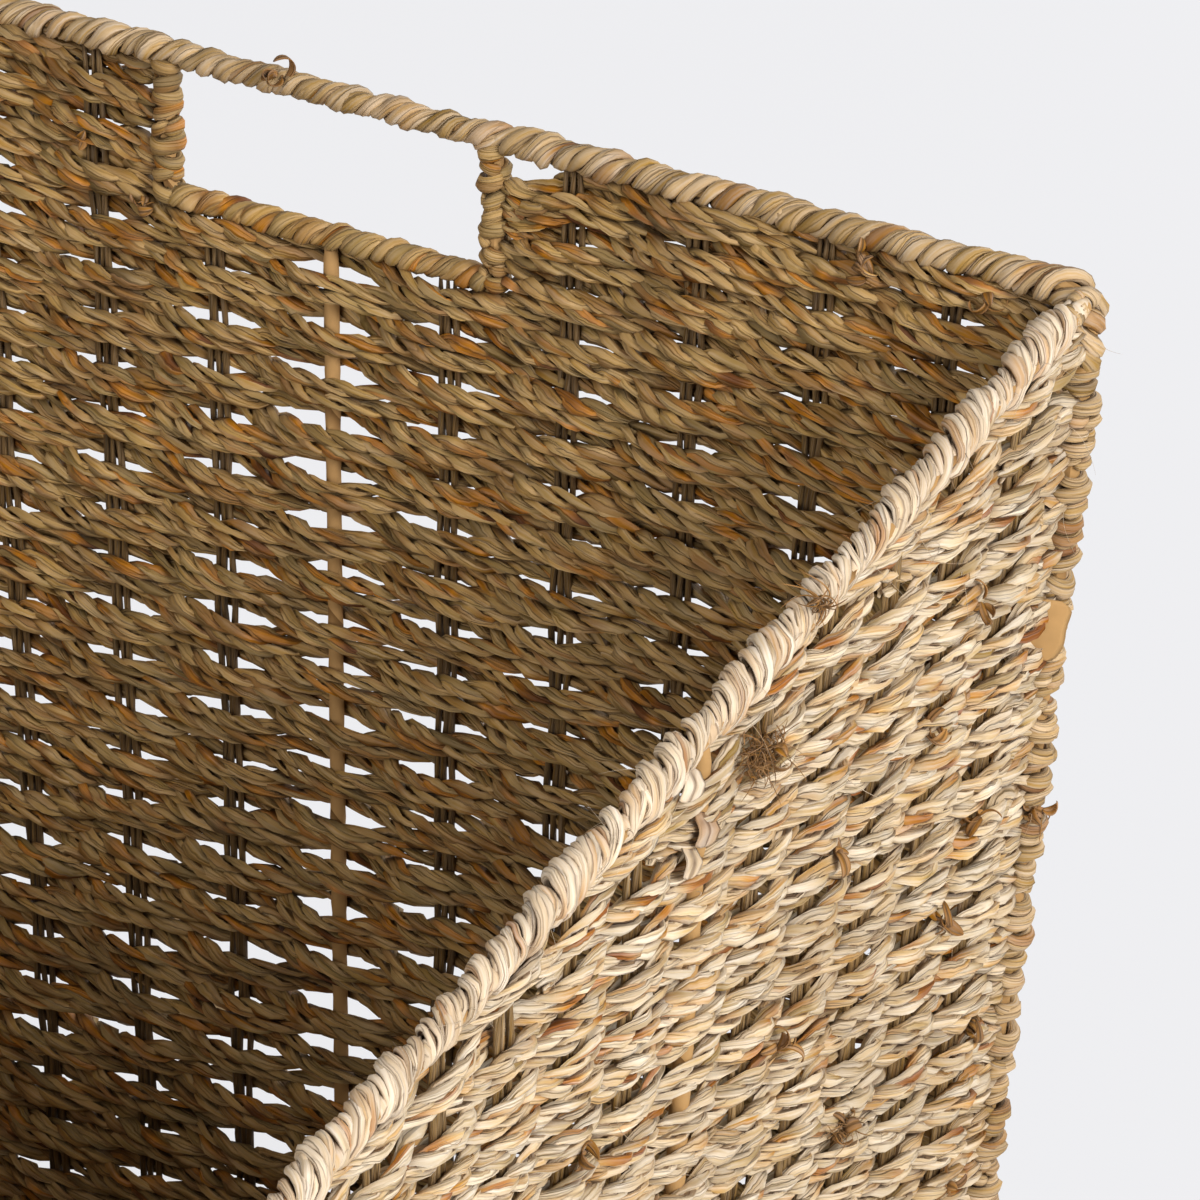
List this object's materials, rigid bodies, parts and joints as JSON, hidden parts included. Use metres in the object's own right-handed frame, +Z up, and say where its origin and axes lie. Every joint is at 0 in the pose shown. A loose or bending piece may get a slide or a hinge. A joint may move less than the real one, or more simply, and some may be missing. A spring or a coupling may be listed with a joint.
{
  "type": "magazine basket",
  "caption": "Tapered open basket of twisted seagrass cord woven on a taped iron frame, with a tall back panel, a hand opening under its rim and sides that slope down to a lower front.",
  "frame": {"origin": "on the floor, under the middle of the rim's outline", "axes": "+X to the right as seen from the low front, +Y towards the tall back panel, +Z up"},
  "size_m": [0.4391, 0.35, 0.3598],
  "materials": {
    "taped_rod": "kraft paper tape wound on iron rod, matt",
    "stake_seagrass": "dry seagrass strands, grey olive, matt",
    "whipping_seagrass": "seagrass wound tight round the rods, straw coloured, faint waxy sheen",
    "weft_seagrass": "twisted seagrass cord, straw to olive brown, faint waxy sheen"
  },
  "bodies": {
    "root": {"back_frame_rod": "taped_rod", "front_rim_rod": "taped_rod", "base_ring_rod": "taped_rod", "handle_rod": "taped_rod", "front_right_upright_rod": "taped_rod", "front_left_upright_rod": "taped_rod", "front_back_hoop_rod": "taped_rod", "side_hoop_rod": "taped_rod", "front_back_stake_1": "stake_seagrass", "front_back_stake_2": "stake_seagrass", "front_back_stake_3": "stake_seagrass", "front_back_stake_4": "stake_seagrass", "front_back_stake_5": "stake_seagrass", "front_back_stake_6": "stake_seagrass", "front_back_stake_7": "stake_seagrass", "front_back_stake_8": "stake_seagrass", "front_back_stake_9": "stake_seagrass", "front_back_stake_10": "stake_seagrass", "side_stake_1": "stake_seagrass", "side_stake_2": "stake_seagrass", "side_stake_3": "stake_seagrass", "side_stake_4": "stake_seagrass", "side_stake_5": "stake_seagrass", "side_stake_6": "stake_seagrass", "side_stake_7": "stake_seagrass", "side_stake_8": "stake_seagrass", "side_stake_9": "stake_seagrass", "side_stake_10": "stake_seagrass", "side_stake_11": "stake_seagrass", "side_stake_12": "stake_seagrass", "handle_grip_wrap": "whipping_seagrass", "handle_surround_wrap": "whipping_seagrass", "back_rim_wrap_right": "whipping_seagrass", "right_slope_wrap": "whipping_seagrass", "back_rim_wrap_left": "whipping_seagrass", "left_slope_wrap": "whipping_seagrass", "front_rim_wrap": "whipping_seagrass", "back_right_bend_wrap": "whipping_seagrass", "front_right_bend_wrap": "whipping_seagrass", "back_left_bend_wrap": "whipping_seagrass", "front_left_bend_wrap": "whipping_seagrass", "back_right_corner_wrap": "weft_seagrass", "front_right_corner_wrap": "weft_seagrass", "back_left_corner_wrap": "weft_seagrass", "front_left_corner_wrap": "weft_seagrass", "base_edge_wrap_back": "weft_seagrass", "base_edge_wrap_front": "weft_seagrass", "base_edge_wrap_left": "weft_seagrass", "base_edge_wrap_right": "weft_seagrass", "back_weave": "weft_seagrass", "front_weave": "weft_seagrass", "right_weave": "weft_seagrass", "left_weave": "weft_seagrass", "base_weave": "weft_seagrass"}
  },
  "joints": []
}
